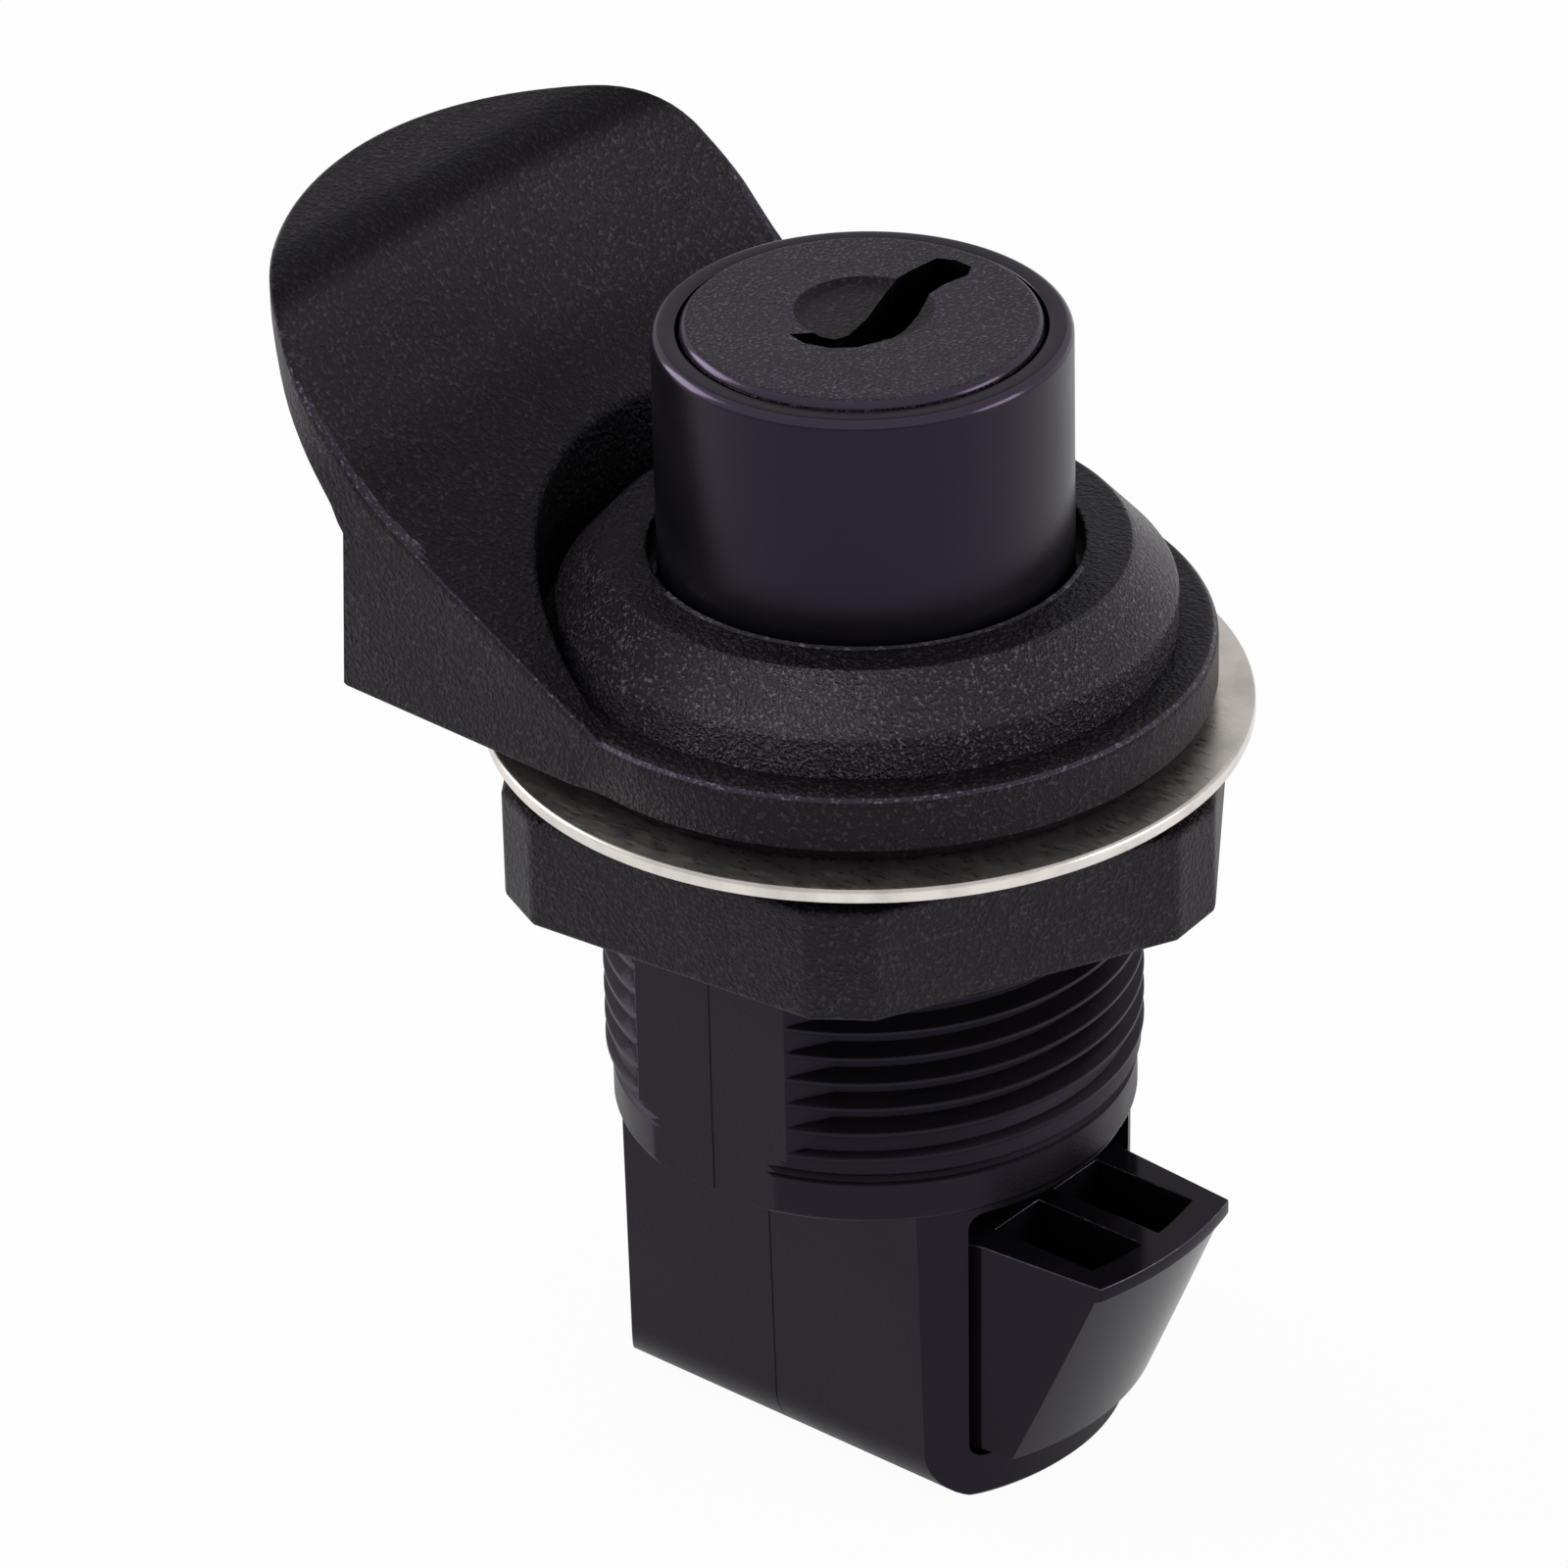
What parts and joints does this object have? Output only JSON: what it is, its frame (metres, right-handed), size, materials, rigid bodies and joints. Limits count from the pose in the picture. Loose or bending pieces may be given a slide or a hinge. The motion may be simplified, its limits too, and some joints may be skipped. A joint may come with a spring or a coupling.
{
  "type": "pushbutton latch",
  "caption": "Panel latch with a keyed pushbutton, an overhanging moulded finger pull, a threaded barrel with washer and nut, and a spring slam bolt driven by the button.",
  "frame": {"origin": "on the barrel axis in the underside of the bezel flange, where the panel face lies (mount panel_seat)", "axes": "+Z points out of the panel towards the person who presses the button, +X is the way the bolt sticks out, and the finger pull reaches out along -X"},
  "size_m": [0.0525, 0.0394, 0.0633],
  "materials": {
    "textured_black": "spark-textured black nylon",
    "satin_black": "fine satin black nylon",
    "smooth_black": "smooth satin black plastic",
    "gloss_black": "polished black acetal",
    "inner_nylon": "plain moulded black nylon",
    "soft_rubber": "soft black rubber",
    "stainless": "stamped stainless steel with rolled edges",
    "spring_steel": "drawn spring steel",
    "screw_steel": "zinc-plated steel",
    "die_cast": "zinc die casting",
    "wafer_brass": "stamped brass"
  },
  "bodies": {
    "housing": {"pull_bezel": "textured_black", "barrel_body": "satin_black", "retaining_ring": "spring_steel", "panel_gasket": "soft_rubber", "steel_washer": "stainless", "hex_nut": "textured_black", "button_spring": "spring_steel", "bolt_spring": "spring_steel"},
    "button": {"button_sleeve": "smooth_black", "button_seal": "soft_rubber", "cylinder_shell": "die_cast", "shell_pin": "spring_steel", "plunger": "inner_nylon", "plunger_screws": "screw_steel"},
    "plug": {"lock_plug": "textured_black", "wafer_set": "wafer_brass", "wafer_springs": "spring_steel", "plug_clip": "spring_steel", "locking_cam": "die_cast", "cam_screw": "screw_steel"},
    "bolt": {"bolt": "gloss_black"}
  },
  "joints": [
    {"name": "button_press", "type": "slide", "parent": "housing", "child": "button", "axis": [0, 0, -1], "range_m": [0, 0.006], "stiffness_N_per_m": 500, "springref_m": -0.004, "deforming": ["button_spring"]},
    {"name": "plug_turn", "type": "hinge", "parent": "button", "child": "plug", "pos_m": [0, 0, 0.0102], "axis": [0, 0, 1], "range_deg": [0, 90]},
    {"name": "bolt_slide", "type": "slide", "parent": "housing", "child": "bolt", "axis": [-1, 0, 0], "range_m": [0, 0.006], "stiffness_N_per_m": 200, "springref_m": -0.005, "deforming": ["bolt_spring"]}
  ],
  "couplings": [
    {"joint": "bolt_slide", "follows": "button_press", "ratio": 1}
  ]
}
